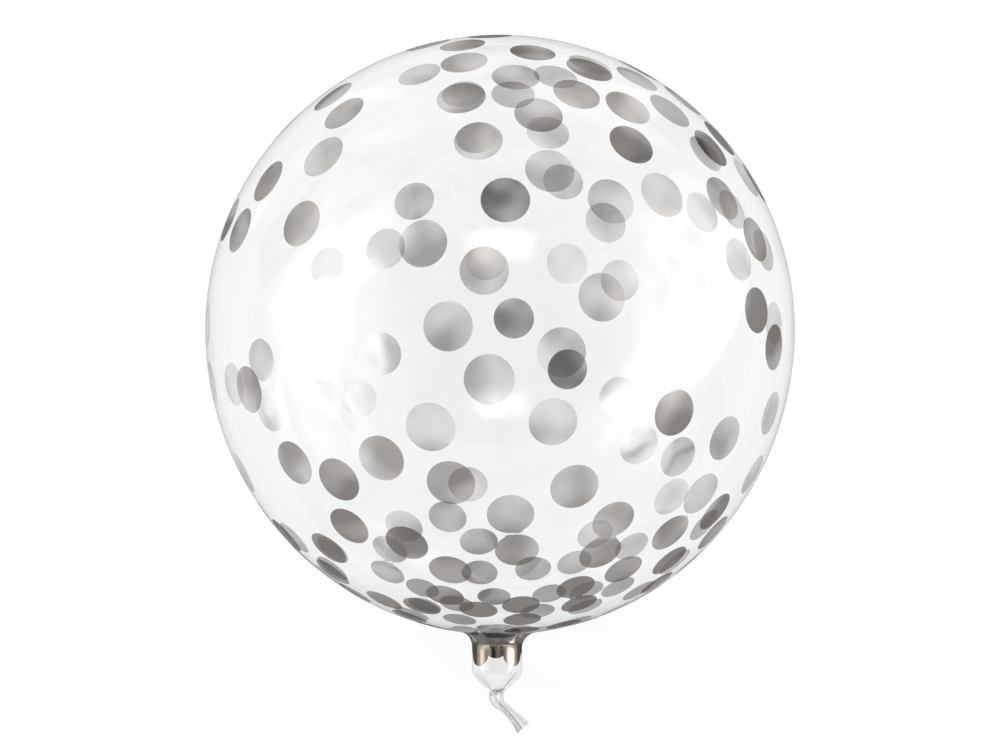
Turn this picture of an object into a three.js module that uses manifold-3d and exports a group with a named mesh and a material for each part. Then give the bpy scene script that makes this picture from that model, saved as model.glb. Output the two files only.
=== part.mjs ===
// A clear bubble balloon, blown up with air and lying on the floor. Millimetres, +Z up.
//
// The whole balloon is one piece of clear film: a globe, a short round neck, a cup where the film
// gathers, the knot that seals it, and the tail of film left over past the knot. It is sealed, so
// it is one closed body. The knot and the tail end on the floor beside the globe, which holds the
// neck off the vertical. The origin is the middle of the small flat spot that the globe rests on.
// The dots printed on the film are colour only and have no thickness here.

import * as THREE from 'three';
import { mergeVertices } from 'three/addons/utils/BufferGeometryUtils.js';
import Module from 'manifold-3d';

const wasm = await Module();
wasm.setup();

// Driving dimensions.

const GLOBE_RADIUS = 200;      // at the widest ring, and up to the far pole
const NECK_SIDE_DEPTH = 207;   // the globe is a little longer on the neck's side
const NECK_RADIUS = 17;
const NECK_SHIFT = -2;         // the neck sits this far off the globe's axis, along X
const FLARE_RADIUS = 11.5;     // the hollow curve between globe and neck
const FLARE_HEIGHT = 9.7;      // from the globe's lowest ring to the straight neck
const FLARE_TURN = THREE.MathUtils.degToRad(81);   // of the hollow curve, until it meets the globe
const NECK_LENGTH = 16.5;      // the straight stretch below the flare
const CUP_LENGTH = 12.5;       // from the straight neck down to the knot
const CUP_ROUNDNESS = 1.32;    // 1 is a plain cone, 2 a bowl
const PLEATS = 4;
const PLEAT_DEPTH = 0.3;       // share of the radius, in the creases between the pleats
const PLEAT_SHARPNESS = 1.2;   // 1 has the sharpest creases, 2 is a soft wave
const PLEAT_START = 6;         // the pleats begin this far above the end of the straight neck
const PLEAT_TURN = Math.PI / 2 + 0.1;   // turns all pleats, so that the front stays smooth
const PLEAT_PAIRING = 1.1;     // radians by which the creases move to the left and right
const PLEAT_SWING = 0.35;      // radians by which the pleats crowd toward one side
const KNOT_RADIUS = 4.4;
const KNOT_WRAP = 1.4;         // radius of the film rope that is wrapped around the knot
const KNOT_WRAP_TILT = THREE.MathUtils.degToRad(-14);
const KNOT_WRAP_DROP = 1;      // below the foot of the cup
const TAIL_THICKNESS = 1.6;    // of the folded film, at the cut end
const TAIL_FOLDS = 3.5;        // folds that run along the tail, side by side
const TAIL_FOLD_DEPTH = 0.7;

const LEAN = THREE.MathUtils.degToRad(40);   // the neck's axis, off the vertical
const REST_SPOT_RADIUS = 30;

const SIDES = 64;              // flat facets around the globe
const FAR_RINGS = 20;
const NEAR_RINGS = 21;
const FLARE_RINGS = 5;
const CUP_RINGS = 6;
const WRAP_SIDES = 8;          // around the rope's own section
const WRAP_STEPS = 18;         // around the knot
const TAIL_SIDES = 28;
const TAIL_STEPS = 14;

// Where the globe's centre is, so that the rest spot's middle is the origin. The globe's lowest
// point follows from the ellipse, and the flat spot is cut above it by the height of a small cap.

const support = Math.hypot(NECK_SIDE_DEPTH * Math.cos(LEAN), GLOBE_RADIUS * Math.sin(LEAN));
const capHeight = support - Math.sqrt(support ** 2 - REST_SPOT_RADIUS ** 2);
const squash = NECK_SIDE_DEPTH ** 2 - GLOBE_RADIUS ** 2;
const CENTRE_FORWARD = squash * Math.cos(LEAN) * Math.sin(LEAN) / support;
const CENTRE_HEIGHT = support - capHeight;

// Heights along the globe's own axis, where 0 is the widest ring and the neck points to -Z.

const flareCentreRadius = NECK_RADIUS + FLARE_RADIUS;
const NECK_TOP = -NECK_SIDE_DEPTH - FLARE_HEIGHT;
const NECK_BOTTOM = NECK_TOP - NECK_LENGTH;
const KNOT_HEIGHT = NECK_BOTTOM - CUP_LENGTH;

const nearHeight = (radius) => -NECK_SIDE_DEPTH * Math.sqrt(1 - (radius / GLOBE_RADIUS) ** 2);

// The outline from the knot up to the far pole, as the lathe wants it.

function outline() {
  const points = [new THREE.Vector2(0, KNOT_HEIGHT - KNOT_RADIUS)];
  for (let ring = CUP_RINGS; ring >= 0; ring -= 1) {
    const share = ring / CUP_RINGS;
    const bowl = (1 - share ** CUP_ROUNDNESS) ** (1 / CUP_ROUNDNESS);
    const radius = KNOT_RADIUS + (NECK_RADIUS - KNOT_RADIUS) * bowl;
    points.push(new THREE.Vector2(radius, NECK_BOTTOM - CUP_LENGTH * share));
  }
  for (let ring = 0; ring <= FLARE_RINGS; ring += 1) {
    const turn = FLARE_TURN * ring / FLARE_RINGS;
    const radius = flareCentreRadius - FLARE_RADIUS * Math.cos(turn);
    points.push(new THREE.Vector2(radius, NECK_TOP + FLARE_RADIUS * Math.sin(turn)));
  }
  const firstTurn = Math.asin(flareCentreRadius / GLOBE_RADIUS);
  for (let ring = 1; ring <= NEAR_RINGS; ring += 1) {
    const turn = firstTurn + (Math.PI / 2 - firstTurn) * ring / NEAR_RINGS;
    const radius = GLOBE_RADIUS * Math.sin(turn);
    points.push(new THREE.Vector2(radius, ring < NEAR_RINGS ? nearHeight(radius) : 0));
  }
  for (let ring = 1; ring <= FAR_RINGS; ring += 1) {
    const turn = Math.PI / 2 * ring / FAR_RINGS;
    const radius = ring < FAR_RINGS ? GLOBE_RADIUS * Math.cos(turn) : 0;
    points.push(new THREE.Vector2(radius, GLOBE_RADIUS * Math.sin(turn)));
  }
  return points;
}

// A closed solid out of a three.js geometry, with shared vertices and no collapsed faces.

function solidOf(geometry) {
  geometry.deleteAttribute('normal');
  geometry.deleteAttribute('uv');
  const merged = mergeVertices(geometry, 1e-4);
  const index = merged.index.array;
  const faces = [];
  for (let corner = 0; corner < index.length; corner += 3) {
    const [a, b, c] = index.slice(corner, corner + 3);
    if (a !== b && b !== c && c !== a) {
      faces.push(a, b, c);
    }
  }
  return new wasm.Manifold(new wasm.Mesh({
    numProp: 3,
    vertProperties: merged.attributes.position.array,
    triVerts: new Uint32Array(faces),
  }));
}

// Moves every vertex of a geometry to where place() puts it.

function reshape(geometry, place) {
  const position = geometry.attributes.position;
  const point = new THREE.Vector3();
  for (let vertex = 0; vertex < position.count; vertex += 1) {
    point.fromBufferAttribute(position, vertex);
    place(point);
    position.setXYZ(vertex, point.x, point.y, point.z);
  }
  return geometry;
}

// The globe, neck and cup: one turned shape. The cup is drawn in by uneven pleats toward the
// knot, and the neck is shifted a little to one side from just above the flare.

const { smoothstep } = THREE.MathUtils;
const SHIFT_START = NECK_SIDE_DEPTH - 12;

// 0 in the middle of a pleat and 1 in the crease between two.

function crease(angle) {
  const turned = angle + PLEAT_TURN;
  const pairing = PLEAT_PAIRING * Math.sin(2 * turned);
  const uneven = PLEATS * turned - pairing + PLEAT_SWING * Math.cos(turned);
  return 1 - Math.abs(Math.cos(uneven / 2)) ** PLEAT_SHARPNESS;
}

function envelope() {
  const lathe = new THREE.LatheGeometry(outline(), SIDES);
  lathe.rotateX(Math.PI / 2);
  return reshape(lathe, (point) => {
    const depth = -point.z;
    const gathered = smoothstep(depth, -NECK_BOTTOM - PLEAT_START, -KNOT_HEIGHT);
    const drawnIn = 1 - PLEAT_DEPTH * gathered * crease(Math.atan2(point.y, point.x));
    point.x = point.x * drawnIn + NECK_SHIFT * smoothstep(depth, SHIFT_START, -NECK_TOP);
    point.y *= drawnIn;
  });
}

// The rope of film that is pulled tight around the foot of the cup.

function knotWrap() {
  const wrap = new THREE.TorusGeometry(KNOT_RADIUS, KNOT_WRAP, WRAP_SIDES, WRAP_STEPS);
  wrap.rotateY(KNOT_WRAP_TILT);
  wrap.translate(NECK_SHIFT, 0, KNOT_HEIGHT - KNOT_WRAP_DROP);
  return wrap;
}

// The tail leaves the knot, turns toward the floor and lies on it. Each station gives the middle
// of the folded film: across, along the globe's axis, above the floor, and its full width. Until
// TURN_START, a share of its length, it faces out of the cup's side, and at its end it faces up.

const TAIL = [
  { across: -2.2, along: KNOT_HEIGHT + 1, above: 14.2, width: 8 },
  { across: -2.7, along: KNOT_HEIGHT - 4, above: 10.9, width: 9.4 },
  { across: -0.3, along: KNOT_HEIGHT - 9, above: 8.0, width: 8 },
  { across: 4.2, along: KNOT_HEIGHT - 12.5, above: 5.8, width: 6.4 },
  { across: 9.6, along: KNOT_HEIGHT - 17.5, above: 3.4, width: 7.6 },
  { across: 16, along: KNOT_HEIGHT - 24.4, above: 1.8, width: 11.4 },
];
const TURN_START = 0.3;
const KNOT_THICKNESS = 6.4;
const END_SLANT = 1.6;         // the cut across the tail's end runs this far off square, each side
const SLANT_START = 0.7;       // share of the tail's length

function tail() {
  const middle = new THREE.CatmullRomCurve3(TAIL.map((station) => new THREE.Vector3(
    station.across,
    (CENTRE_HEIGHT + station.along * Math.cos(LEAN) - station.above) / Math.sin(LEAN),
    station.along,
  )));
  const widths = new THREE.CatmullRomCurve3(
    TAIL.map((station) => new THREE.Vector3(station.width, 0, 0)),
  );
  const facingOut = new THREE.Vector3(0, -1, 0);
  const facingUp = new THREE.Vector3(0, -Math.sin(LEAN), Math.cos(LEAN));
  const film = new THREE.CylinderGeometry(1, 1, 1, TAIL_SIDES, TAIL_STEPS);
  return reshape(film, (point) => {
    const share = point.y + 0.5;
    const along = middle.getTangent(share);
    const normal = facingOut.clone().lerp(facingUp, smoothstep(share, TURN_START, 1));
    normal.addScaledVector(along, -normal.dot(along)).normalize();
    const sideways = along.clone().cross(normal);
    const halfWidth = widths.getPoint(share).x / 2;
    const halfThickness = THREE.MathUtils.lerp(KNOT_THICKNESS, TAIL_THICKNESS, Math.sqrt(share)) / 2;
    const fold = TAIL_FOLD_DEPTH * Math.sin(TAIL_FOLDS * Math.PI * point.x) * share;
    const slant = END_SLANT * point.x * smoothstep(share, SLANT_START, 1);
    const spot = middle.getPoint(share);
    spot.addScaledVector(sideways, halfWidth * point.x);
    spot.addScaledVector(normal, halfThickness * point.z + fold);
    spot.addScaledVector(along, slant);
    point.copy(spot);
  });
}

// The balloon's own frame, leaned over and lifted so that the rest spot lies at the origin.

const pose = new THREE.Matrix4().makeRotationX(-LEAN);
pose.setPosition(0, CENTRE_FORWARD, CENTRE_HEIGHT);

const SLAB_SIZE = 180;         // a slab well past the rest spot and thicker than the cut-off cap
const SLAB_DEPTH = 40;

function belowFloor() {
  const slab = new THREE.BoxGeometry(SLAB_SIZE, SLAB_SIZE, SLAB_DEPTH);
  slab.translate(0, 0, -SLAB_DEPTH / 2);
  slab.applyMatrix4(pose.clone().invert());
  return slab;
}

function balloon() {
  const shape = solidOf(envelope()).add(solidOf(knotWrap())).add(solidOf(tail()));
  const { vertProperties, triVerts } = shape.subtract(solidOf(belowFloor())).getMesh();
  const geometry = new THREE.BufferGeometry();
  geometry.setAttribute('position', new THREE.BufferAttribute(vertProperties, 3));
  geometry.setIndex(new THREE.BufferAttribute(triVerts, 1));
  const clearFilm = new THREE.MeshStandardMaterial({
    color: 0xe9e7e4,
    roughness: 0.06,
    metalness: 0,
    transparent: true,
    opacity: 0.3,
  });
  const mesh = new THREE.Mesh(geometry, clearFilm);
  mesh.name = 'bubble_balloon';
  mesh.applyMatrix4(pose);
  return mesh;
}

const part = new THREE.Group();
part.add(balloon());
export default part;
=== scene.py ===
# %% [markdown]
# # A clear bubble balloon with printed silver dots
#
# A bubble balloon is a single piece of very thin clear film. It is blown up into a round globe,
# its open neck is gathered and knotted, and a short tail of spare film is left past the knot.
# Metallic ink is printed on the film as plain round dots. This lesson builds that one piece in
# Blender around a finished construction model, which says how big it is and where it lies.

# %% Load the construction model
import math

import bmesh
import bpy
import numpy as np
from mathutils import Matrix, Vector


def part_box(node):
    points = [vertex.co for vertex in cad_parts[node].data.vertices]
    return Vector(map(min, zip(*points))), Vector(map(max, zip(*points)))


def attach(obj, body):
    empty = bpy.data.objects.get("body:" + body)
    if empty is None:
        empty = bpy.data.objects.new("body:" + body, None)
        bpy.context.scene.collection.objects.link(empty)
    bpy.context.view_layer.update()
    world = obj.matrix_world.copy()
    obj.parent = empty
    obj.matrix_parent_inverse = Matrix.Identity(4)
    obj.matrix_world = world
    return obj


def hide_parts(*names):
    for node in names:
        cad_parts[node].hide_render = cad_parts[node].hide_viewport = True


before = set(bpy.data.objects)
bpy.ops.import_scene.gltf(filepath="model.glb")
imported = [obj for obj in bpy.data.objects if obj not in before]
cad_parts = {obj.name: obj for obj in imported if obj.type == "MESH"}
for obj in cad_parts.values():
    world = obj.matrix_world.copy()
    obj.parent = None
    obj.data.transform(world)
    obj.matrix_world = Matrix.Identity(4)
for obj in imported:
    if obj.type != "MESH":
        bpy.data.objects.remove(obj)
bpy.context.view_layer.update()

# %% [markdown]
# The balloon rests on a small flat spot, and its neck leans off the vertical until the knot and
# the tail touch the floor. The globe is the widest and the highest thing in the model's box, so
# its radius and its centre follow from that box. All other sizes are shares of that radius or
# small lengths of film. The film is shaped upright around its own axis, with the neck pointing
# down, and is leaned over and moved into place at the very end.

# %% Find the globe in the model's box
node_low, node_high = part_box("bubble_balloon")
GLOBE_RADIUS = (node_high.x - node_low.x) / 2
GLOBE_CENTRE = Vector((0, node_high.y - GLOBE_RADIUS, node_high.z - GLOBE_RADIUS))
LEAN = math.radians(40)
LEANED = Matrix.Translation(GLOBE_CENTRE) @ Matrix.Rotation(-LEAN, 4, "X")
MM = 0.001
print("globe radius", round(GLOBE_RADIUS, 4), "centre", tuple(GLOBE_CENTRE))

# %% [markdown]
# ## The film's outline
#
# A turned shape needs only its outline. Here it is written as a few arcs: half a circle's worth
# of globe on the far side, a slightly longer ellipse on the neck's side, a hollow curve into the
# neck, a straight neck, and a cup that narrows to the knot. A Screw modifier could turn such an
# outline, but the film has to be folded and labelled ring by ring, so loops place its vertices.
# Each stretch gets as many rings as its length needs, because the dots are painted through the
# vertices later and a coarse mesh would give them ragged edges.

# %% The outline as rings of radius and height
NECK_SIDE_DEPTH = 1.035 * GLOBE_RADIUS
NECK_RADIUS = 17 * MM
NECK_SHIFT = -2 * MM
FLARE_RADIUS = 11.5 * MM
FLARE_HEIGHT = 9.7 * MM
FLARE_TURN = math.radians(81)
NECK_TOP = -NECK_SIDE_DEPTH - FLARE_HEIGHT
NECK_LENGTH = 16.5 * MM
NECK_BOTTOM = NECK_TOP - NECK_LENGTH
CUP_LENGTH = 12.5 * MM
KNOT_HEIGHT = NECK_BOTTOM - CUP_LENGTH
KNOT_RADIUS = 4.4 * MM
KNOT_TIP = 1.2 * MM
CUP_ROUNDNESS = 1.32
FAR_RINGS = 88
NEAR_RINGS = 92
FLARE_RINGS = 16
NECK_RINGS = 16
CUP_RINGS = 24


def near_height(radius):
    """Height of the globe's neck side at a distance from the axis."""
    return -NECK_SIDE_DEPTH * math.sqrt(1 - (radius / GLOBE_RADIUS) ** 2)


def film_outline():
    """Rings from the far pole down to the knot, without the two closing points."""
    rings = []
    for step in range(1, FAR_RINGS):
        turn = math.pi / 2 * step / FAR_RINGS
        rings.append((GLOBE_RADIUS * math.sin(turn), GLOBE_RADIUS * math.cos(turn)))
    flare_centre = NECK_RADIUS + FLARE_RADIUS
    last_turn = math.asin(flare_centre / GLOBE_RADIUS)
    for step in range(NEAR_RINGS):
        turn = math.pi / 2 + (math.pi / 2 - last_turn) * step / NEAR_RINGS
        radius = GLOBE_RADIUS * math.sin(turn)
        rings.append((radius, near_height(radius)))
    for step in range(FLARE_RINGS):
        turn = FLARE_TURN * (1 - step / FLARE_RINGS)
        radius = flare_centre - FLARE_RADIUS * math.cos(turn)
        rings.append((radius, NECK_TOP + FLARE_RADIUS * math.sin(turn)))
    for step in range(NECK_RINGS):
        rings.append((NECK_RADIUS, NECK_TOP - NECK_LENGTH * step / NECK_RINGS))
    for step in range(CUP_RINGS + 1):
        share = step / CUP_RINGS
        bowl = (1 - share ** CUP_ROUNDNESS) ** (1 / CUP_ROUNDNESS)
        radius = KNOT_RADIUS + (NECK_RADIUS - KNOT_RADIUS) * bowl
        rings.append((radius, NECK_BOTTOM - CUP_LENGTH * share))
    return rings


outline = film_outline()
print(len(outline), "rings from", outline[0], "to", outline[-1])

# %% [markdown]
# ## The film as a mesh
#
# Where the film is gathered, it folds into pleats that deepen toward the knot. Real pleats are
# never even, so the angle around the neck is warped before the folds are laid on it: the creases
# crowd at the left and right, and leave the front and back of the cup smooth. Cloth simulation
# could fold the film too, but a formula gives the same folds at every run.
#
# Each vertex also remembers two numbers for the material. One says how much the film darkens
# there: a little where it is gathered into layers, and more as painted shade along the cup's
# creases and the tail's folds and edges. The other says how little the air stretched it, from 0
# on the globe to 1 on the neck.

# %% Turn the outline and fold the cup
SIDES = 360
PLEATS = 4
PLEAT_DEPTH = 0.30
SMALL_PLEATS = 13
SMALL_PLEAT_DEPTH = 0.04
PLEAT_START = 6 * MM
PLEAT_TURN = math.pi / 2 + 0.1
PLEAT_PAIRING = 1.1
PLEAT_SWING = 0.35
PLEAT_SHARPNESS = 1.2
SHIFT_START = 12 * MM
SLACK_START = 0.45 * GLOBE_RADIUS
SLACK_ON_GLOBE = 0.9


def smoothstep(low, high, value):
    """0 below low, 1 above high and a soft ramp between."""
    share = min(max((value - low) / (high - low), 0.0), 1.0)
    return share * share * (3 - 2 * share)


def gathered_at(height):
    """How gathered the film is at a height along the balloon's axis."""
    return smoothstep(-NECK_BOTTOM - PLEAT_START, -KNOT_HEIGHT, -height)


def unstretched_at(height):
    """How little the film was stretched by the air: 0 on the globe, 1 from the neck down."""
    near_neck = smoothstep(SLACK_START, NECK_SIDE_DEPTH, -height)
    on_neck = smoothstep(NECK_SIDE_DEPTH, -NECK_TOP, -height)
    return SLACK_ON_GLOBE * near_neck + (1 - SLACK_ON_GLOBE) * on_neck


def pleat(angle):
    """1 in the middle of a pleat and 0 along the crease between two."""
    turned = angle + PLEAT_TURN
    pairing = PLEAT_PAIRING * math.sin(2 * turned)
    uneven = PLEATS * turned - pairing + PLEAT_SWING * math.cos(turned)
    return abs(math.cos(uneven / 2)) ** PLEAT_SHARPNESS


def folded(radius, height, angle):
    """A point of the film, drawn in by the pleats and shifted with the neck."""
    gathered = gathered_at(height)
    small = SMALL_PLEAT_DEPTH * gathered**3 * (1 - abs(math.sin(SMALL_PLEATS * angle / 2)))
    drawn_in = radius * (1 - PLEAT_DEPTH * gathered * (1 - pleat(angle)) - small)
    shift = NECK_SHIFT * smoothstep(NECK_SIDE_DEPTH - SHIFT_START, -NECK_TOP, -height)
    return drawn_in * math.cos(angle) + shift, drawn_in * math.sin(angle), height


def add_lathe(bm, rings):
    """Turns rings into a closed shell around Z and returns its vertices."""
    loops = []
    for radius, height in rings:
        angles = [math.tau * side / SIDES for side in range(SIDES)]
        loops.append([bm.verts.new(folded(radius, height, angle)) for angle in angles])
    for upper, lower in zip(loops, loops[1:]):
        for side in range(SIDES):
            after = (side + 1) % SIDES
            bm.faces.new((upper[side], lower[side], lower[after], upper[after]))
    top = bm.verts.new((0, 0, GLOBE_RADIUS))
    bottom = bm.verts.new((NECK_SHIFT, 0, rings[-1][1] - KNOT_TIP))
    for side in range(SIDES):
        after = (side + 1) % SIDES
        bm.faces.new((top, loops[0][side], loops[0][after]))
        bm.faces.new((bottom, loops[-1][after], loops[-1][side]))
    return [vertex for loop in loops for vertex in loop] + [top, bottom]


# %% Label the film's vertices
# Painted shade along the cup's creases, on top of a little darkening where the film is gathered.
CREASE_PAINTED_SHADE = 0.7
CUP_THICKNESS = 0.01
CREASE_NARROWNESS = 6

film = bmesh.new()
for layer in ("gathered", "unstretched"):
    film.verts.layers.float.new(layer)
fold_and_shade_layer = film.verts.layers.float["gathered"]
slackness = film.verts.layers.float["unstretched"]
for vertex in add_lathe(film, outline):
    angle = math.atan2(vertex.co.y, vertex.co.x - NECK_SHIFT)
    crease = (1 - pleat(angle)) ** CREASE_NARROWNESS
    thickness = CUP_THICKNESS + CREASE_PAINTED_SHADE * crease
    vertex[fold_and_shade_layer] = gathered_at(vertex.co.z) * thickness
    vertex[slackness] = unstretched_at(vertex.co.z)
print("globe, neck and cup:", len(film.verts), "vertices")

# %% [markdown]
# ## The knot and the tail
#
# Past the cup the film is one soft rope. It is wrapped once around its own foot and pulled
# tight. The spare film leaves the knot as two folded strips with a slit between them, one of them
# bowed out as a loop, and they lie on top of each other on the floor as a flat tail. All three
# are the same idea: a closed section carried along a path. A curve with a bevel would do for a
# plain rope, but here the section changes on the way. It is ribbed, it gets wider and thinner
# toward the cut end, and it turns until the flat tail faces up where it touches the floor.

# %% Carry a section along a path
def smooth_path(stations, count):
    """A Catmull-Rom curve through the stations, as an array of count points."""
    given = np.array(stations, float)
    padded = np.vstack([2 * given[0] - given[1], given, 2 * given[-1] - given[-2]])
    places = np.linspace(0, len(given) - 1 - 1e-9, count)
    points = []
    for place in places:
        index = int(place)
        t = place - index
        a, b, c, d = padded[index:index + 4]
        points.append(0.5 * (2 * b + (c - a) * t + (2 * a - 5 * b + 4 * c - d) * t**2
                             + (3 * b - a - 3 * c + d) * t**3))
    return np.array(points)


def add_sweep(bm, loops, closed):
    """Skins a list of equal loops of points. Open sweeps get a cap at each end."""
    made = [[bm.verts.new(point) for point in loop] for loop in loops]
    pairs = list(zip(made, made[1:]))
    if closed:
        pairs.append((made[-1], made[0]))
    for first, second in pairs:
        for corner in range(len(first)):
            after = (corner + 1) % len(first)
            bm.faces.new((first[corner], first[after], second[after], second[corner]))
    if not closed:
        bm.faces.new(list(reversed(made[0])))
        bm.faces.new(made[-1])
    return [vertex for loop in made for vertex in loop]


# %% The rope around the knot
WRAP_RADIUS = 1.4 * MM
WRAP_TILT = math.radians(-14)
WRAP_DROP = 1 * MM
WRAP_STEPS = 96
WRAP_CORNERS = 36
WRAP_RIBS = 6
WRAP_TWISTS = 5
RIB_DEPTH = 0.14
WRAP_UNEVENNESS = 0.07
WRAP_THICKNESS = 0.05


def knot_wrap():
    """A ribbed ring around the foot of the cup."""
    tilt = Matrix.Rotation(WRAP_TILT, 3, "Y")
    middle = Vector((NECK_SHIFT, 0, KNOT_HEIGHT - WRAP_DROP))
    loops = []
    for step in range(WRAP_STEPS):
        around = math.tau * step / WRAP_STEPS
        swell = 1 + WRAP_UNEVENNESS * math.sin(3 * around)
        outward = Vector((math.cos(around), math.sin(around), 0))
        loop = []
        for corner in range(WRAP_CORNERS):
            turn = math.tau * corner / WRAP_CORNERS
            rib = swell + RIB_DEPTH * math.cos(WRAP_RIBS * turn + WRAP_TWISTS * around)
            place = outward * (KNOT_RADIUS + WRAP_RADIUS * rib * math.cos(turn))
            place.z += WRAP_RADIUS * rib * math.sin(turn)
            loop.append(middle + tilt @ place)
        loops.append(loop)
    return loops


for vertex in add_sweep(film, knot_wrap(), closed=True):
    vertex[fold_and_shade_layer] = WRAP_THICKNESS
    vertex[slackness] = 1.0
print("with the knot:", len(film.verts), "vertices")

# %% The tail of spare film
# Each station: across, along the balloon's axis, height above the floor, full width.
TAIL_STATIONS = (
    (0.9 * MM, KNOT_HEIGHT + 1 * MM, 14.0 * MM, 2.6 * MM),
    (1.2 * MM, KNOT_HEIGHT - 4 * MM, 10.7 * MM, 2.8 * MM),
    (1.4 * MM, KNOT_HEIGHT - 9 * MM, 7.8 * MM, 4.6 * MM),
    (4.6 * MM, KNOT_HEIGHT - 12.5 * MM, 5.6 * MM, 5.8 * MM),
    (9.9 * MM, KNOT_HEIGHT - 17.2 * MM, 3.2 * MM, 7.0 * MM),
    (16.0 * MM, KNOT_HEIGHT - 24.4 * MM, 1.6 * MM, 11.4 * MM),
)
LOOP_STATIONS = (
    (-1.8 * MM, KNOT_HEIGHT + 0.8 * MM, 14.4 * MM, 3.0 * MM),
    (-4.7 * MM, KNOT_HEIGHT - 4.0 * MM, 11.3 * MM, 5.4 * MM),
    (-2.4 * MM, KNOT_HEIGHT - 9.0 * MM, 8.4 * MM, 5.0 * MM),
    (3.2 * MM, KNOT_HEIGHT - 13.2 * MM, 7.0 * MM, 3.8 * MM),
    (8.4 * MM, KNOT_HEIGHT - 19.0 * MM, 4.6 * MM, 4.0 * MM),
    (13.4 * MM, KNOT_HEIGHT - 26.0 * MM, 3.0 * MM, 5.0 * MM),
)
TAIL_FOLDS = 2.5
LOOP_FOLDS = 1.5
STRIP_STEPS = 80
STRIP_CORNERS = 56
END_SLANT = 1.6 * MM
SLANT_START = 0.7
TURN_START = 0.3
THIN_END = 0.35 * MM
THICK_START = 0.9 * MM
FLAT_END = 0.12 * MM
DEEP_START = 1.2 * MM
FOLD_DRIFT = 2.2
FOLD_START = 0.4


def strip_place(step, corner, folds):
    """Share along a strip, place across it from -1 to 1, and height of the fold there."""
    share = step / (STRIP_STEPS - 1)
    across = math.cos(math.tau * corner / STRIP_CORNERS)
    return share, across, math.sin(folds * math.pi * across + FOLD_DRIFT * share + FOLD_START)


def strip_loops(stations, folds):
    """Sections of folded film, from inside the knot to the cut end."""
    track = smooth_path(stations, STRIP_STEPS)
    middle = track[:, :3].copy()
    lean_cos, lean_sin = math.cos(LEAN), math.sin(LEAN)
    middle[:, 1] = (GLOBE_CENTRE.z + track[:, 1] * lean_cos - track[:, 2]) / lean_sin
    middle[:, 2] = track[:, 1]
    ways = np.gradient(middle, axis=0)
    loops = []
    for step in range(STRIP_STEPS):
        share = strip_place(step, 0, folds)[0]
        way = Vector(ways[step]).normalized()
        turn = smoothstep(TURN_START, 1, share)
        facing = Vector((0, -1, 0)).lerp(Vector((0, -lean_sin, lean_cos)), turn)
        facing = (facing - way * facing.dot(way)).normalized()
        sideways = way.cross(facing)
        half_width = track[step, 3] / 2
        thickness = THIN_END + THICK_START * (1 - share) ** 2
        depth = FLAT_END + DEEP_START * (1 - share) ** 1.2
        slant = END_SLANT * smoothstep(SLANT_START, 1, share)
        loop = []
        for corner in range(STRIP_CORNERS):
            angle = math.tau * corner / STRIP_CORNERS
            share, across, fold = strip_place(step, corner, folds)
            lift = depth * fold * (1 - 0.5 * across**2) + thickness * math.sin(angle) / 2
            point = Vector(middle[step]) + sideways * (half_width * across)
            loop.append(point + facing * lift + way * (slant * across))
        loops.append(loop)
    return loops


# %% Add the two strips
# Gathered film darkens a little, and the tail gets painted shade along its fold valleys and its
# edges, where it would be seen edge-on.
STRIP_THICKNESS = 0.05
FOLD_PAINTED_SHADE = 0.21
EDGE_PAINTED_SHADE = 0.315

for stations, folds in ((TAIL_STATIONS, TAIL_FOLDS), (LOOP_STATIONS, LOOP_FOLDS)):
    strip = add_sweep(film, strip_loops(stations, folds), closed=False)
    for index, vertex in enumerate(strip):
        share, across, fold = strip_place(*divmod(index, STRIP_CORNERS), folds)
        fold_shade = FOLD_PAINTED_SHADE * smoothstep(-0.1, 1, -fold)
        edge = EDGE_PAINTED_SHADE * smoothstep(0.8, 1, abs(across))
        vertex[fold_and_shade_layer] = STRIP_THICKNESS + max(fold_shade, edge)
        vertex[slackness] = 1.0
print("with the tail:", len(film.verts), "vertices")

# %% Make the film one object
film.faces.ensure_lookup_table()
for face in film.faces:
    face.smooth = True
bmesh.ops.recalc_face_normals(film, faces=film.faces)
film_mesh = bpy.data.meshes.new("plain film")
film.to_mesh(film_mesh)
film.free()
plain_film = bpy.data.objects.new("plain film", film_mesh)
bpy.context.scene.collection.objects.link(plain_film)
print(len(film_mesh.polygons), "faces")

# %% [markdown]
# ## A small language for nodes
#
# Node trees are easier to read as sums than as wires. The class below wraps one output socket
# and lets Python's own operators add Math nodes, so that `1 - mask` is one node. Every other
# node comes from a single method that takes the node's type, its settings and its inputs.

# %% Node expressions
class Value:
    """An output socket that takes part in Python expressions."""

    def __init__(self, graph, socket):
        self.graph = graph
        self.socket = socket

    def math(self, operation, *others):
        settings = {"operation": operation}
        return self.graph.node("ShaderNodeMath", settings, dict(enumerate((self, *others))))

    def __add__(self, other):
        return self.math("ADD", other)

    def __sub__(self, other):
        return self.math("SUBTRACT", other)

    def __rsub__(self, other):
        return self.graph.node(
            "ShaderNodeMath", {"operation": "SUBTRACT"}, {0: other, 1: self})

    def __mul__(self, other):
        return self.math("MULTIPLY", other)

    def __truediv__(self, other):
        return self.math("DIVIDE", other)

    def __rtruediv__(self, other):
        return self.graph.node(
            "ShaderNodeMath", {"operation": "DIVIDE"}, {0: other, 1: self})

    def __pow__(self, other):
        return self.math("POWER", other)

    __radd__ = __add__
    __rmul__ = __mul__


class Graph:
    """A node tree that is built from types, settings and inputs."""

    def __init__(self, tree):
        self.tree = tree

    def node(self, kind, settings=None, inputs=None, output=0):
        made = self.tree.nodes.new(kind)
        for name, setting in (settings or {}).items():
            setattr(made, name, setting)
        for name, given in (inputs or {}).items():
            self.feed(made.inputs[name], given)
        return Value(self, made.outputs[output])

    def feed(self, socket, given):
        if isinstance(given, Value):
            self.tree.links.new(given.socket, socket)
        else:
            socket.default_value = given


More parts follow.
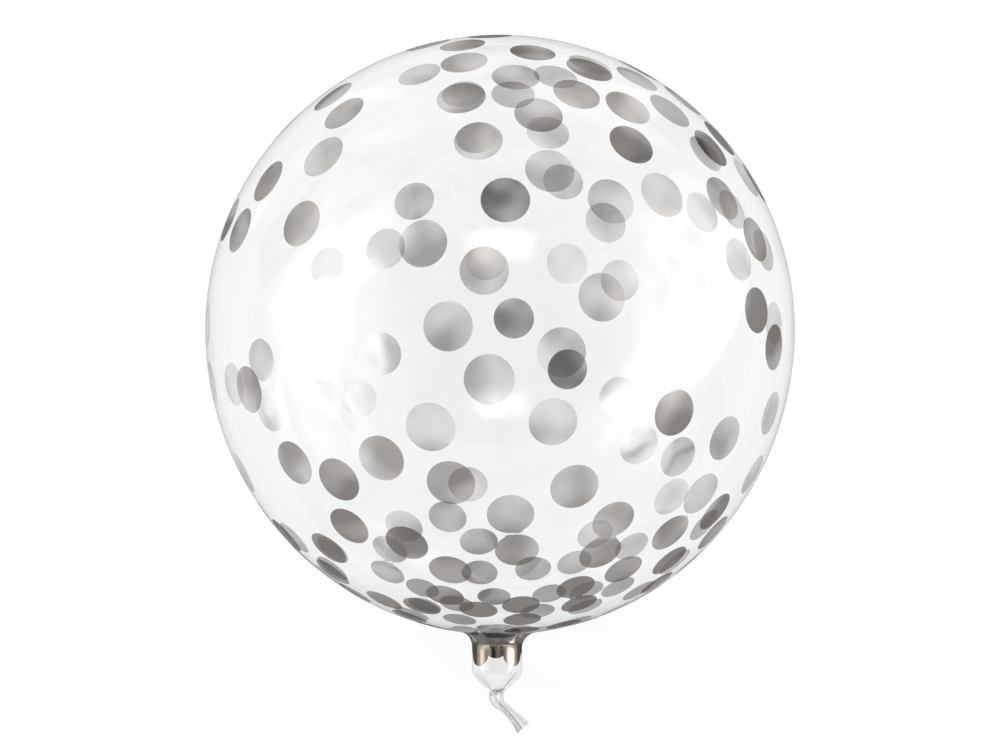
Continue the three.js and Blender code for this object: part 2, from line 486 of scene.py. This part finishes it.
# %% [markdown]
# ## Printing the dots
#
# The ink has no thickness, so a dot isn't a disc laid on the film. Each film vertex is told how
# far it is from the edge of the nearest dot, less than zero inside it, and the material draws
# the dot's edge where that number crosses zero. Geometry Nodes are the right tool: they scatter
# points over the film with a least spacing, and they look up the nearest point for every vertex.
#
# Blowing up a balloon stretches the film least around the neck, so the dots there stay small
# and close together. The tree does the same: it shrinks the film back to where all dots are
# alike, scatters them there, and carries the points back to the blown-up film.
#
# Two rings of dots come on top. A collar of see-through dots covers the hollow curve above the
# neck. The ring below it lies on the neck itself, so crowded that it runs together into a dense
# band with a scalloped lower edge. A dot image could be wrapped around the film instead, but it
# would be squeezed at the neck and at the far pole, and these dots are round everywhere.

# %% Helpers for the dot tree
def new_tree(name, sizes):
    """A geometry tree with one named input for each size, and its Graph and input values."""
    tree = bpy.data.node_groups.new(name, "GeometryNodeTree")
    tree.interface.new_socket("Geometry", in_out="INPUT", socket_type="NodeSocketGeometry")
    for label, default in sizes.items():
        kind = "NodeSocketInt" if isinstance(default, int) else "NodeSocketFloat"
        made = tree.interface.new_socket(label, in_out="INPUT", socket_type=kind)
        made.default_value = default
    tree.interface.new_socket("Geometry", in_out="OUTPUT", socket_type="NodeSocketGeometry")
    graph = Graph(tree)
    entry = tree.nodes.new("NodeGroupInput")
    values = {socket.name: Value(graph, socket) for socket in entry.outputs if socket.name}
    return tree, graph, values


def random_value(graph, low, high, seed):
    """A random number for each point."""
    inputs = {2: low, 3: high, "Seed": seed}
    return graph.node("FunctionNodeRandomValue", {"data_type": "FLOAT"}, inputs, output=1)


def store(graph, geometry, name, value, kind="FLOAT"):
    """Writes a named number or vector onto every point of a geometry."""
    settings = {"data_type": kind, "domain": "POINT"}
    inputs = {"Geometry": geometry, "Name": name, "Value": value}
    return graph.node("GeometryNodeStoreNamedAttribute", settings, inputs)


def named(graph, name, kind="FLOAT"):
    """Reads a named number or vector back."""
    settings = {"data_type": kind}
    return graph.node("GeometryNodeInputNamedAttribute", settings, {"Name": name})


def read_nearest(graph, points, value, kind="FLOAT"):
    """The value of the point that is nearest to each film vertex."""
    here = graph.node("GeometryNodeInputPosition")
    nearest = graph.node(
        "GeometryNodeSampleNearest", {"domain": "POINT"},
        {"Geometry": points, "Sample Position": here})
    return graph.node(
        "GeometryNodeSampleIndex", {"data_type": kind, "domain": "POINT"},
        {"Geometry": points, "Value": value, "Index": nearest})


def edge_distance(graph, points):
    """Distance of each film vertex past the edge of its nearest dot."""
    place = graph.node("GeometryNodeInputPosition")
    centre = read_nearest(graph, points, place, "FLOAT_VECTOR")
    radius = read_nearest(graph, points, named(graph, "dot radius"))
    away = graph.node(
        "ShaderNodeVectorMath", {"operation": "DISTANCE"}, {0: place, 1: centre}, output="Value")
    return away - radius


# %% Scatter the globe's dots
DOT_SIZES = {
    "Dot radius": 15.4 * MM,
    "Size variation": 0.03,
    "Least spacing": 35.2 * MM,
    "Share on the globe": 0.46,
    "Share by the neck": 0.85,
    "Size by the neck": 0.70,
    "Collar ring radius": 25.5 * MM,
    "Collar height": NECK_TOP + 10 * MM,
    "Collar sway": 1.5 * MM,
    "Collar dot radius": 9.6 * MM,
    "Collar dots": 8,
    "Band ring radius": NECK_RADIUS,
    "Band height": NECK_TOP + 1 * MM,
    "Band sway": 3.1 * MM,
    "Band dot radius": 8.2 * MM,
    "Band dots": 8,
    "Seed": 553,
}


GLOBE_FILM = 0.905
MOST_DOTS = 4000.0
NECK_DOT_GROWTH = 0.08


def globe_dots(graph, sizes):
    """Dots of one size on unblown film, which end up smaller where the film stretches less."""
    place = graph.node("GeometryNodeInputPosition")
    slack = named(graph, "unstretched")
    shrunk = 1 - slack * (1 - sizes["Size by the neck"])
    flat = store(graph, sizes["Geometry"], "film place", place, "FLOAT_VECTOR")
    unblown = graph.node(
        "ShaderNodeVectorMath", {"operation": "SCALE"}, {0: place, "Scale": 1 / shrunk})
    flat = graph.node("GeometryNodeSetPosition", None, {"Geometry": flat, "Position": unblown})
    off_the_neck = named(graph, "unstretched").math("LESS_THAN", GLOBE_FILM)
    slack = named(graph, "unstretched")
    share = sizes["Share on the globe"]
    share = share + slack * (sizes["Share by the neck"] - share)
    points = graph.node(
        "GeometryNodeDistributePointsOnFaces", {"distribute_method": "POISSON"},
        {"Mesh": flat, "Selection": off_the_neck, "Distance Min": sizes["Least spacing"],
         "Density Max": MOST_DOTS, "Density Factor": share, "Seed": sizes["Seed"]})
    blown = named(graph, "film place", "FLOAT_VECTOR")
    points = graph.node("GeometryNodeSetPosition", None, {"Geometry": points, "Position": blown})
    swing = sizes["Size variation"]
    shrunk = 1 - named(graph, "unstretched") * (1 - sizes["Size by the neck"])
    scale = random_value(graph, 1 - swing, 1 + swing, 3)
    grown = 1 + NECK_DOT_GROWTH * named(graph, "unstretched")
    points = store(graph, points, "dot radius", sizes["Dot radius"] * scale * shrunk * grown)
    return store(graph, points, "dot tone", random_value(graph, 0.0, 1.0, 4))


# %% Lay rings of dots around the neck
RING_TIP = math.radians(5)
COLLAR_TURN = math.radians(11)
BAND_TURN = math.radians(-48)


def ring_dots(graph, sizes, name, turn):
    """Evenly spaced dots around the neck, which sit high and low in turn."""
    ring = graph.node(
        "GeometryNodeMeshCircle", {"fill_type": "NONE"},
        {"Vertices": sizes[name + " dots"], "Radius": sizes[name + " ring radius"]})
    ring = graph.node(
        "GeometryNodeTransform", None, {"Geometry": ring, "Rotation": (0, 0, turn)})
    lift = graph.node(
        "ShaderNodeCombineXYZ", None, {"X": NECK_SHIFT, "Z": sizes[name + " height"]})
    ring = graph.node(
        "GeometryNodeTransform", None,
        {"Geometry": ring, "Translation": lift, "Rotation": (RING_TIP, 0, 0)})
    points = graph.node("GeometryNodeMeshToPoints", None, {"Mesh": ring})
    odd = graph.node("GeometryNodeInputIndex").math("MODULO", 2.0)
    sway = graph.node(
        "ShaderNodeCombineXYZ", None, {"Z": sizes[name + " sway"] * (2 * odd - 1)})
    points = graph.node("GeometryNodeSetPosition", None, {"Geometry": points, "Offset": sway})
    points = store(graph, points, "dot radius", sizes[name + " dot radius"])
    return store(graph, points, "dot tone", random_value(graph, 0.0, 1.0, 5))


# %% Paint the dots' edges onto the film's vertices
BAND_TONE = 2.0
BAND_TOP = NECK_TOP + 3.6 * MM


def dot_tree(material):
    """The tree that stores edge distances and tones on the film."""
    tree, graph, sizes = new_tree("dot print", DOT_SIZES)
    geometry = sizes["Geometry"]
    points = globe_dots(graph, sizes)
    edge = edge_distance(graph, points)
    tone = read_nearest(graph, points, named(graph, "dot tone"))
    collar = ring_dots(graph, sizes, "Collar", COLLAR_TURN)
    collar_edge = edge_distance(graph, collar)
    nearer = collar_edge.math("LESS_THAN", edge)
    tone = tone + nearer * (read_nearest(graph, collar, named(graph, "dot tone")) - tone)
    edge = edge.math("MINIMUM", collar_edge)
    band = ring_dots(graph, sizes, "Band", BAND_TURN)
    place = graph.node("GeometryNodeInputPosition")
    height = graph.node("ShaderNodeSeparateXYZ", None, {"Vector": place}, "Z")
    band_edge = edge_distance(graph, band)
    dense = band_edge.math("LESS_THAN", 0.0) * height.math("LESS_THAN", BAND_TOP)
    tone = tone + dense * (BAND_TONE - tone)
    edge = edge.math("MINIMUM", band_edge)
    geometry = store(graph, geometry, "dot edge", edge)
    geometry = store(graph, geometry, "dot shade", tone)
    geometry = graph.node("GeometryNodeRealizeInstances", None, {"Geometry": geometry})
    geometry = graph.node(
        "GeometryNodeSetMaterial", None, {"Geometry": geometry, "Material": material})
    end = tree.nodes.new("NodeGroupOutput")
    graph.feed(end.inputs["Geometry"], geometry)
    return tree


# %% [markdown]
# ## Film and ink
#
# Film this thin doesn't bend what is behind it. It lets nearly all light straight through and
# mirrors a little, more at a glancing angle, so it is a mix of a Transparent and a Glossy shader
# with Schlick's curve as the mix. Painted shade darkens it at the rim, on the neck's slantwise
# sides and along its folds. A glass shader would treat the globe as a solid ball of glass.
#
# The ink is a metal film thin enough to see through. The more slantwise it is seen, the less
# light it lets through, so the dots darken toward the globe's rim. That is partly the longer path
# through the ink and partly painted shade, which stands in for the darker room that the rim dots
# mirror. Some dots were printed heavier than others, and each has patches: partly uneven print,
# and partly painted glints, bright spots that stand in for mirrored light. The ink's outer face
# is dull and its inner face, seen through the film that carries it, is shiny, so dots on the far
# side of the globe look paler. On the neck the ink was never stretched, so there it is dense and
# shines like polished metal, with painted shade where the neck turns away. Real metal foil
# modelled as thin discs would need thousands more faces and would still float above the film.

# %% Colours of film and ink
CLEAR_FILM = (0.949, 0.948, 0.949, 1)
# Painted shade: how dark the film is drawn at the rim, on the neck's sides and along the folds.
FOLDED_AND_SHADED_FILM = (0.46, 0.46, 0.46, 1)
THIN_INK = (0.975, 0.960, 0.945, 1)
INK_OUTSIDE = (0.125, 0.114, 0.106, 1)
INK_INSIDE = (0.48, 0.477, 0.485, 1)
DENSE_INK_MIRROR = (0.60, 0.52, 0.44, 1)
# Painted shade: the band's dark mirror colour where the neck turns away.
BAND_PAINTED_SHADE_MIRROR = (0.07, 0.062, 0.055, 1)
print("clear film lets", CLEAR_FILM[0], "of the light through")


# %% Helpers for shaders
def mix(graph, factor, first, second):
    """Two shaders in a share."""
    return graph.node("ShaderNodeMixShader", None, {0: factor, 1: first, 2: second})


def transparent(graph, colour):
    return graph.node("ShaderNodeBsdfTransparent", None, {"Color": colour})


def glossy(graph, colour, roughness, normal):
    inputs = {"Color": colour, "Roughness": roughness, "Normal": normal}
    return graph.node("ShaderNodeBsdfAnisotropic", None, inputs)


def attribute(graph, name):
    return graph.node("ShaderNodeAttribute", {"attribute_name": name}, None, "Fac")


def noise(graph, place, scale, detail):
    inputs = {"Vector": place, "Scale": scale, "Detail": detail}
    return graph.node("ShaderNodeTexNoise", None, inputs)


def bumped(graph, height, inputs):
    return graph.node("ShaderNodeBump", None, {"Height": height, **inputs})


# %% Clear film
# Painted shade that darkens what shows through the film: at the rim, and on the slantwise
# sides of the neck.
RIM_PAINTED_SHADE = 1.1
NECK_SIDE_PAINTED_SHADE = 0.35
# How much it mirrors: seen squarely, where it is thick and slack, and at a glancing angle.
SQUARE_MIRROR = 0.04
SLACK_MIRROR = 0.02
SLANT_MIRROR = 0.30
FILM_ROUGHNESS = 0.05


def clear_film(graph, slant, normal):
    """Film that lets light straight through, and mirrors more at a glancing angle.

    Its rim and the neck's sides get painted shade.
    """
    slack = attribute(graph, "unstretched")
    folds_and_painted_shade = RIM_PAINTED_SHADE * slant**10 + NECK_SIDE_PAINTED_SHADE * slack**4 * slant**3
    # Gathered film adds a little darkening for its layers, and painted shade along creases, folds
    # and edges.
    folds_and_painted_shade = (folds_and_painted_shade + attribute(graph, "gathered")).math("MINIMUM", 1.0)
    through = mix(graph, folds_and_painted_shade, transparent(graph, CLEAR_FILM), transparent(graph, FOLDED_AND_SHADED_FILM))
    shine = glossy(graph, (1, 1, 1, 1), FILM_ROUGHNESS, normal)
    mirrored = SQUARE_MIRROR + SLACK_MIRROR * slack**8 + SLANT_MIRROR * slant**5
    return mix(graph, mirrored, through, shine)


# %% Silver ink
# The share of light that the ink stops: in the thinnest dot, and what each cause adds to it.
THINNEST_INK = 0.46
BY_SHADE = 0.08
BY_HEAVY_PRINT = 0.26
# The slant terms are partly a longer path through the ink and partly painted shade toward the
# globe's rim.
SLANT_PATH_AND_SHADE = 0.32
SLANT_SQUARED_PATH_AND_SHADE = 0.14
BY_SLACK_FILM = 0.34
HEAVY_FROM = 0.60
HEAVY_TO = 0.76
MOST_IN_THIN_DOTS = 0.86
MOST_IN_HEAVY_DOTS = 0.90
MOST_IN_ANY_DOT = 0.87
CLOUD_SCALE = 23.0
CLOUD_LOW = 0.32
CLOUD_HIGH = 0.68
# Patches of uneven print; the thinner end makes painted glints, bright spots for mirrored light.
PATCH_DENSER = 0.15
PATCH_THINNER_PAINTED_GLINT = -0.30
DULL_ROUGHNESS = 0.16
SHINY_ROUGHNESS = 0.15
BAND_ROUGHNESS = 0.12
# Slant at which the band's painted shade is full.
BAND_PAINTED_SHADE_SLANT = 0.45
BAND_COVER = 0.97
INK_RIPPLE_SCALE = 26.0
INK_RIPPLE = {"Strength": 1.0, "Distance": 2.2 * MM}


def ink_density(graph, shade, slant, unstretched, place):
    """The share of light that a dot stops."""
    settings = {"interpolation_type": "SMOOTHSTEP"}
    heavy = graph.node("ShaderNodeMapRange", settings, {
        "Value": shade, "From Min": HEAVY_FROM, "From Max": HEAVY_TO})
    solid = THINNEST_INK + BY_SHADE * shade + BY_HEAVY_PRINT * heavy
    # Painted shade at a slant, partly a longer path through the ink.
    solid = solid + SLANT_PATH_AND_SHADE * slant + SLANT_SQUARED_PATH_AND_SHADE * slant**2
    most = MOST_IN_THIN_DOTS + (MOST_IN_HEAVY_DOTS - MOST_IN_THIN_DOTS) * heavy
    solid = (solid + BY_SLACK_FILM * unstretched).math("MINIMUM", most)
    # Uneven print, with painted glints where the ink is thinnest.
    patches_and_painted_glints = graph.node("ShaderNodeMapRange", settings, {
        "Value": noise(graph, place, CLOUD_SCALE, 1.5), "From Min": CLOUD_LOW,
        "From Max": CLOUD_HIGH, "To Min": PATCH_DENSER, "To Max": PATCH_THINNER_PAINTED_GLINT})
    return (solid + patches_and_painted_glints * (1 - 0.6 * unstretched)).math("MINIMUM", MOST_IN_ANY_DOT)


def dense_ink(graph, slant, normal):
    """Polished metal, with painted shade where the neck turns away."""
    # Painted shade on the band, by how far the neck turns away.
    painted_shade = ((slant / BAND_PAINTED_SHADE_SLANT)**2).math("MINIMUM", 1.0)
    return mix(
        graph, painted_shade, glossy(graph, DENSE_INK_MIRROR, BAND_ROUGHNESS, normal),
        glossy(graph, BAND_PAINTED_SHADE_MIRROR, BAND_ROUGHNESS, normal))


def silver_ink(graph, slant, normal, place):
    """Ink that is see-through where the film was stretched and a mirror where it wasn't."""
    unstretched = attribute(graph, "unstretched")
    shade = attribute(graph, "dot shade")
    solid = ink_density(graph, shade, slant, unstretched, place)
    ripple = noise(graph, place, INK_RIPPLE_SCALE, 1.0)
    rippled = bumped(graph, ripple, {"Normal": normal, **INK_RIPPLE})
    inside = graph.node("ShaderNodeNewGeometry", None, None, "Backfacing")
    shiny = inside * (1 - 0.8 * unstretched)
    face = mix(
        graph, shiny, glossy(graph, INK_OUTSIDE, DULL_ROUGHNESS, rippled),
        glossy(graph, INK_INSIDE, SHINY_ROUGHNESS, rippled))
    thin = mix(graph, solid, transparent(graph, THIN_INK), face)
    on_band = (shade - 1).math("MINIMUM", 1.0).math("MAXIMUM", 0.0)
    return mix(graph, BAND_COVER * on_band, thin, dense_ink(graph, slant, normal))


# %% The printed film's material
FILM_RIPPLE_SCALE = 11.0
FILM_RIPPLE = {"Strength": 0.12, "Distance": 4 * MM}
EDGE_BLUR = 0.3 * MM


def printed_film():
    """Clear film with dots of thin metallic ink."""
    material = bpy.data.materials.new("printed clear film")
    material.use_nodes = True
    material.node_tree.nodes.clear()
    graph = Graph(material.node_tree)
    place = graph.node("ShaderNodeTexCoord", None, None, "Object")
    ripple = noise(graph, place, FILM_RIPPLE_SCALE, 2.0)
    normal = bumped(graph, ripple, FILM_RIPPLE)
    slant = graph.node("ShaderNodeLayerWeight", None, {"Blend": 0.5}, "Facing")
    edge = attribute(graph, "dot edge")
    inside = (0.5 - edge / EDGE_BLUR).math("MINIMUM", 1.0).math("MAXIMUM", 0.0)
    surface = mix(
        graph, inside, clear_film(graph, slant, normal), silver_ink(graph, slant, normal, place))
    end = material.node_tree.nodes.new("ShaderNodeOutputMaterial")
    graph.feed(end.inputs["Surface"], surface)
    return material


# %% Run the dot tree and keep its result as a plain mesh
printed = printed_film()
tree = dot_tree(printed)
modifier = plain_film.modifiers.new("dot print", "NODES")
modifier.node_group = tree
for item in tree.interface.items_tree:
    if item.in_out == "INPUT" and item.name in DOT_SIZES:
        modifier[item.identifier] = DOT_SIZES[item.name]
evaluated = plain_film.evaluated_get(bpy.context.evaluated_depsgraph_get())
balloon_mesh = bpy.data.meshes.new_from_object(evaluated)
plain_film.modifiers.remove(modifier)
bpy.data.objects.remove(plain_film)
print("attributes:", [attribute.name for attribute in balloon_mesh.attributes])

# %% [markdown]
# The finished mesh is leaned over and set down. A real balloon's film gives way where it touches
# the floor, and here every vertex below the floor is pressed up to it, which makes the same flat
# spot as the construction model has.

# %% Lean the balloon over and flatten its rest spot
FLOOR_GAP = 0.05 * MM
balloon_mesh.transform(LEANED)
pressed = 0
for vertex in balloon_mesh.vertices:
    if vertex.co.z < FLOOR_GAP:
        vertex.co.z = FLOOR_GAP
        pressed += 1
balloon = bpy.data.objects.new("balloon_film", balloon_mesh)
bpy.context.scene.collection.objects.link(balloon)
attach(balloon, "root")
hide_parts("bubble_balloon")
print(pressed, "vertices pressed flat on the floor")

# %% [markdown]
# ## Floor, light and camera
#
# A clear thing is drawn by what shines through it and by what it mirrors. A pale floor that glows
# a little stands for a floor that is lit from all around, without a hard shadow. The camera looks
# down along a line square to the balloon's axis, so that the neck points straight down.

# %% The floor
FLOOR_REACH = 8.0
FLOOR_GLOW = 0.895
FLOOR_GREY = 0.15


def pale_floor():
    mesh = bpy.data.meshes.new("floor")
    reach = FLOOR_REACH
    corners = [(-reach, -reach, 0), (reach, -reach, 0), (reach, reach, 0), (-reach, reach, 0)]
    mesh.from_pydata(corners, [], [(0, 1, 2, 3)])
    floor = bpy.data.objects.new("floor", mesh)
    bpy.context.scene.collection.objects.link(floor)
    material = bpy.data.materials.new("pale floor")
    material.use_nodes = True
    shader = material.node_tree.nodes["Principled BSDF"]
    shader.inputs["Base Color"].default_value = (FLOOR_GREY, FLOOR_GREY, FLOOR_GREY, 1)
    shader.inputs["Roughness"].default_value = 0.9
    shader.inputs["Specular IOR Level"].default_value = 0.0
    shader.inputs["Emission Color"].default_value = (1, 1, 1, 1)
    shader.inputs["Emission Strength"].default_value = FLOOR_GLOW
    mesh.materials.append(material)
    return floor


floor = pale_floor()
print("floor reaches", FLOOR_REACH, "metres each way")

# %% Camera
CAMERA_DISTANCE = 2.0
LENS = 105.6
toward_camera = Vector((0, -math.cos(LEAN), math.sin(LEAN)))
picture_up = Vector((0, math.sin(LEAN), math.cos(LEAN)))
PICTURE_DROP = 30.7 * MM


def look(thing, spot, target):
    """Places a lamp or camera and turns it to a target."""
    thing.location = spot
    thing.rotation_euler = (target - spot).to_track_quat("-Z", "Y").to_euler()


def main_camera():
    data = bpy.data.cameras.new("camera")
    data.lens = LENS
    camera = bpy.data.objects.new("camera", data)
    bpy.context.scene.collection.objects.link(camera)
    target = GLOBE_CENTRE - picture_up * PICTURE_DROP
    look(camera, target + toward_camera * CAMERA_DISTANCE, target)
    bpy.context.scene.camera = camera
    return camera


camera = main_camera()
print("camera at", tuple(round(place, 3) for place in camera.location))

# %% [markdown]
# The film's highlights are the mirror images of softboxes. On a globe, a lamp that stands at some
# angle off the camera's line is mirrored at half that angle, so a tall lamp at each side gives
# the tall highlights at the left and right, and one above the camera gives the small one in
# front. The lamps fade out toward their edges, as real softboxes do, so the highlights are soft.

# %% Lamps
EDGE_FADE = 1.25


def soft_edges(light):
    """Makes a lamp fade out toward its own edges."""
    light.use_nodes = True
    graph = Graph(light.node_tree)
    light.node_tree.nodes.clear()
    across = graph.node("ShaderNodeNewGeometry", None, None, "Parametric")
    sides = [
        graph.node("ShaderNodeSeparateXYZ", None, {"Vector": across}, axis) for axis in "XY"]
    u, v = [(side * (1 - side) * 4.0).math("MAXIMUM", 0.0) for side in sides]
    shader = graph.node("ShaderNodeEmission", None, {"Strength": (u * v)**EDGE_FADE})
    end = light.node_tree.nodes.new("ShaderNodeOutputLight")
    graph.feed(end.inputs["Surface"], shader)


def softbox(name, right, up, distance, width, height, radiance):
    """A soft rectangular lamp. right and up are angles off the line to the camera."""
    side = math.radians(right)
    rise = math.radians(up)
    way = toward_camera * math.cos(side) + Vector((1, 0, 0)) * math.sin(side)
    way = way * math.cos(rise) + picture_up * math.sin(rise)
    data = bpy.data.lights.new(name, "AREA")
    data.shape = "RECTANGLE"
    data.size = width
    data.size_y = height
    data.energy = radiance * math.pi * width * height
    soft_edges(data)
    lamp = bpy.data.objects.new(name, data)
    bpy.context.scene.collection.objects.link(lamp)
    look(lamp, GLOBE_CENTRE + way * distance, GLOBE_CENTRE)
    lamp.visible_camera = False
    lamp.visible_diffuse = False
    return lamp


# Each lamp: degrees to the right and up, distance, width, height and radiance.
LAMPS = {
    "left softbox": (-70, 17, 2.4, 1.4, 3.2, 4.2),
    "right softbox": (86, 4, 2.4, 4.8, 3.4, 2.8),
    "rim light": (-131, 12, 2.4, 0.3, 1.8, 3),
    "lamp above the camera": (0, 29.5, 2.0, 1.0, 0.5, 9),
}
lamps = [softbox(name, *numbers) for name, numbers in LAMPS.items()]
print("lamps:", [lamp.name for lamp in lamps])

# %% A ceiling glow that lights the floor evenly
glow = bpy.data.lights.new("ceiling glow", "SUN")
glow.energy = 1.25
glow.angle = math.radians(80)
ceiling = bpy.data.objects.new("ceiling glow", glow)
bpy.context.scene.collection.objects.link(ceiling)
ceiling.visible_glossy = False
print("ceiling glow of", round(glow.energy, 2))

# %% [markdown]
# Silver ink shows the room around it, and in an even white room it would look like grey paint. A
# soft noise stands for a real room's darker and brighter places. It only shines back: seen
# straight, or through the film, the room is a plain white backdrop.

# %% The studio around
BESIDE_CAMERA = {"From Min": 0.95, "From Max": 0.35, "To Min": 0.16, "To Max": 1.15}
FURNITURE = {"From Min": 0.39, "From Max": 0.47, "To Min": 0.08}
WINDOWS = {"From Min": 0.54, "From Max": 0.64, "To Min": 1.0, "To Max": 1.9}
CEILING = {"From Min": 0.4, "From Max": 0.95, "To Min": 1.0, "To Max": 0.45}
CLUTTER_SCALE = 4.2
CLUTTER_HEIGHT = 0.3


def ramp(graph, value, limits):
    """A soft ramp between two limits."""
    settings = {"interpolation_type": "SMOOTHSTEP"}
    return graph.node("ShaderNodeMapRange", settings, {"Value": value, **limits})


def studio_world():
    """A plain white backdrop, and a room of uneven brightness that only shines back."""
    world = bpy.data.worlds.new("studio")
    bpy.context.scene.world = world
    world.use_nodes = True
    graph = Graph(world.node_tree)
    background = world.node_tree.nodes["Background"]
    way = graph.node("ShaderNodeTexCoord", None, None, "Generated")
    facing = graph.node(
        "ShaderNodeVectorMath", {"operation": "DOT_PRODUCT"},
        {0: way, 1: tuple(toward_camera)}, output="Value")
    stretched = {0: way, 1: (1, 1, CLUTTER_HEIGHT)}
    upright = graph.node("ShaderNodeVectorMath", {"operation": "MULTIPLY"}, stretched)
    clutter = noise(graph, upright, CLUTTER_SCALE, 1.5)
    height = graph.node("ShaderNodeSeparateXYZ", None, {"Vector": way}, "Z")
    room = ramp(graph, facing, BESIDE_CAMERA) * ramp(graph, clutter, FURNITURE)
    room = room * ramp(graph, clutter, WINDOWS) * ramp(graph, height, CEILING)
    seen = graph.node("ShaderNodeLightPath", None, None, "Is Camera Ray")
    graph.feed(background.inputs["Strength"], room + seen * (1 - room))
    background.inputs["Color"].default_value = (1.0, 0.99, 0.985, 1)


studio_world()
bpy.context.scene.view_settings.view_transform = "Standard"
print("studio made")
